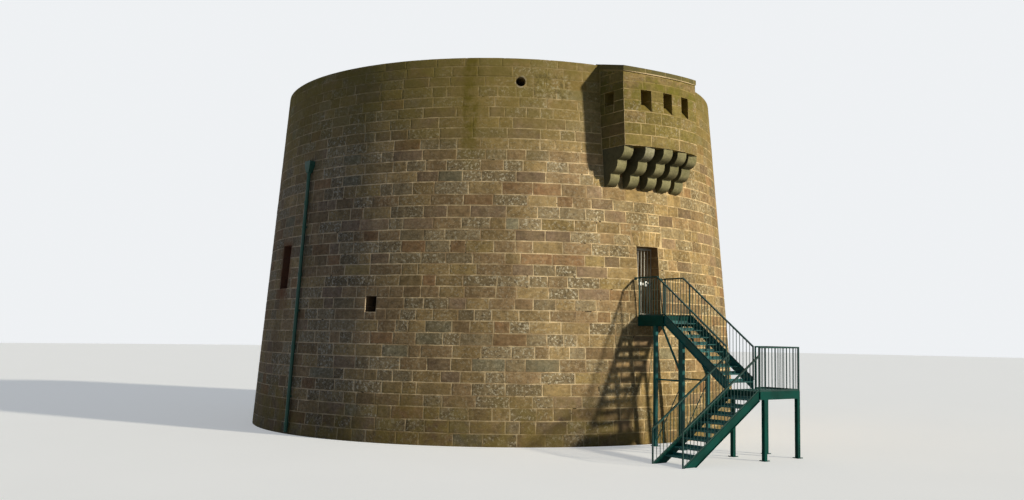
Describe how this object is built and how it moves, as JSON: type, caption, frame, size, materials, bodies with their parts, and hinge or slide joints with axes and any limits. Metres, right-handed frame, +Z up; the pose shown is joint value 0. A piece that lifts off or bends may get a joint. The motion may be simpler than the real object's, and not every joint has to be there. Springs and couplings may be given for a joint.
{
  "type": "martello tower",
  "caption": "Round battered stone gun tower with a raised barred doorway under a corbelled machicolation and a turning steel stair.",
  "frame": {"origin": "centre of the round tower's base, on the ground", "axes": "+Z up, the door faces -Y, +X to the right of someone facing the door"},
  "size_m": [16.3208, 20.4775, 11.1508],
  "materials": {
    "sandstone": "coursed sandstone blocks, lime joints, weathered",
    "corbel_stone": "dressed sandstone, grey-green with lichen",
    "coping_stone": "dressed sandstone, mossy on top",
    "inner_stone": "rough limewashed masonry and flagging",
    "floor_timber": "old oak boards",
    "stair_paint": "dark green paint, slightly worn",
    "gate_iron": "dark painted iron",
    "pipe_paint": "green paint on iron"
  },
  "bodies": {
    "tower": {"banquette": "inner_stone", "corbels_lower": "corbel_stone", "corbels_middle": "corbel_stone", "corbels_upper": "corbel_stone", "door_jambs": "sandstone", "door_masonry": "sandstone", "downpipe": "pipe_paint", "floor_boards": "floor_timber", "floor_joists": "floor_timber", "gate_hinges": "gate_iron", "half_landing": "stair_paint", "half_landing_guard": "stair_paint", "half_landing_legs": "stair_paint", "landing": "stair_paint", "landing_posts": "stair_paint", "lower_guard_far": "stair_paint", "lower_guard_near": "stair_paint", "lower_stringers": "stair_paint", "lower_treads": "stair_paint", "machicolation_base": "sandstone", "machicolation_coping": "coping_stone", "machicolation_head": "sandstone", "machicolation_piers": "sandstone", "parapet_front_left": "sandstone", "parapet_front_right": "sandstone", "parapet_rear_left": "sandstone", "parapet_rear_right": "sandstone", "passage_masonry": "sandstone", "pipe_brackets": "pipe_paint", "post_braces": "stair_paint", "rainwater_head": "pipe_paint", "upper_guard_left": "stair_paint", "upper_guard_right": "stair_paint", "upper_stringers": "stair_paint", "upper_treads": "stair_paint", "vault_1": "inner_stone", "vault_2": "inner_stone", "vault_3": "inner_stone", "vault_4": "inner_stone", "wall_front_left": "sandstone", "wall_front_right": "sandstone", "wall_left": "sandstone", "wall_rear_left": "sandstone", "wall_rear_right": "sandstone", "window_masonry": "sandstone"},
    "gate": {"gate": "gate_iron"}
  },
  "joints": [
    {"name": "gate_hinge", "type": "hinge", "parent": "tower", "child": "gate", "pos_m": [-0.455, -7.37, 3.585], "axis": [0, 0, 1], "range_deg": [0, 90]}
  ]
}
